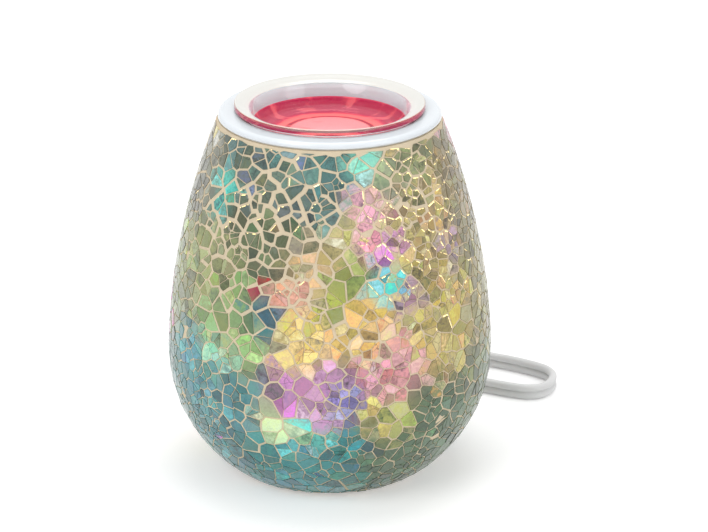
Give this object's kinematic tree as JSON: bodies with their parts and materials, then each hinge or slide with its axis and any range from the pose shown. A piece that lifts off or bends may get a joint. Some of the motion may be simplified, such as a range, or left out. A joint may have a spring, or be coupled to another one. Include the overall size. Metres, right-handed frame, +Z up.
{
  "type": "electric wax warmer",
  "caption": "Electric home fragrance wax warmer: a mosaic-covered glass vessel with a lamp inside, a lift-off glass wax dish, and a flat flex with an in-line roller switch and plug.",
  "frame": {"origin": "on the table, under the middle of the vessel", "axes": "+Z up, along the vessel's axis; -Y is the front, and the flex leaves at the back, towards +Y"},
  "size_m": [0.177, 0.2825, 0.165],
  "materials": {
    "vessel_glass": "clear blown glass",
    "grout": "sanded tan grout",
    "mosaic_glass": "coloured crackle glass, glossy",
    "silicone": "translucent silicone",
    "white_gloss": "glossy white",
    "dish_glass": "clear pressed glass",
    "wax": "melted red wax",
    "base_white": "fine grained white",
    "foot_rubber": "black rubber",
    "zinc_steel": "zinc plated",
    "brass": "bright brass",
    "holder_plastic": "ivory heat-proof plastic",
    "bulb_glass": "clear thin glass",
    "bulb_metal": "bright rolled aluminium",
    "black_glass": "black glass insulator",
    "tungsten": "drawn wire",
    "flex_white": "soft white PVC",
    "plug_white": "moulded white PVC"
  },
  "bodies": {
    "warmer": {"glass_vessel": "vessel_glass", "grout_coat": "grout", "mosaic_chips": "mosaic_glass", "mouth_gasket": "silicone", "collar": "white_gloss", "base_plate": "base_white", "base_seal": "silicone", "rubber_feet": "foot_rubber", "threaded_rod": "zinc_steel", "rod_nuts": "zinc_steel", "lock_washer": "zinc_steel", "lamp_holder": "holder_plastic", "screw_shell": "brass", "centre_contact": "brass", "terminal_screws": "brass", "cord_bushing": "plug_white", "inner_cord": "flex_white", "lead_wires": "flex_white", "cord_lead": "flex_white", "cord_tail": "flex_white", "cord_coil": "flex_white", "cord_end": "flex_white", "cord_tie": "silicone", "switch_front": "plug_white", "switch_back": "plug_white", "switch_spindle": "zinc_steel", "switch_contacts": "brass", "switch_screws": "zinc_steel", "plug_body": "plug_white", "plug_blades": "brass"},
    "dish": {"dish": "dish_glass", "wax": "wax"},
    "bulb_tip": {"bulb_contact": "bulb_metal"},
    "bulb": {"bulb_glass": "bulb_glass", "bulb_stem": "bulb_glass", "bulb_filament": "tungsten", "bulb_supports": "tungsten", "bulb_cap": "bulb_metal", "bulb_insulator": "black_glass"},
    "roller": {"switch_roller": "plug_white"}
  },
  "joints": [
    {"name": "dish_lift", "type": "slide", "parent": "warmer", "child": "dish", "axis": [0, 0, 1], "range_m": [0, 0.08]},
    {"name": "bulb_rise", "type": "slide", "parent": "warmer", "child": "bulb_tip", "axis": [0, 0, 1], "range_m": [0, 0.0115]},
    {"name": "bulb_turn", "type": "hinge", "parent": "bulb_tip", "child": "bulb", "pos_m": [0, 0, 0.055], "axis": [0, 0, 1], "range_deg": [0, 1620]},
    {"name": "roller_turn", "type": "hinge", "parent": "warmer", "child": "roller", "pos_m": [0.017, 0.112, 0.0115], "axis": [0, 1, 0], "continuous": true}
  ],
  "couplings": [
    {"joint": "bulb_rise", "follows": "bulb_turn", "m_per_rad": 0.00040425}
  ]
}
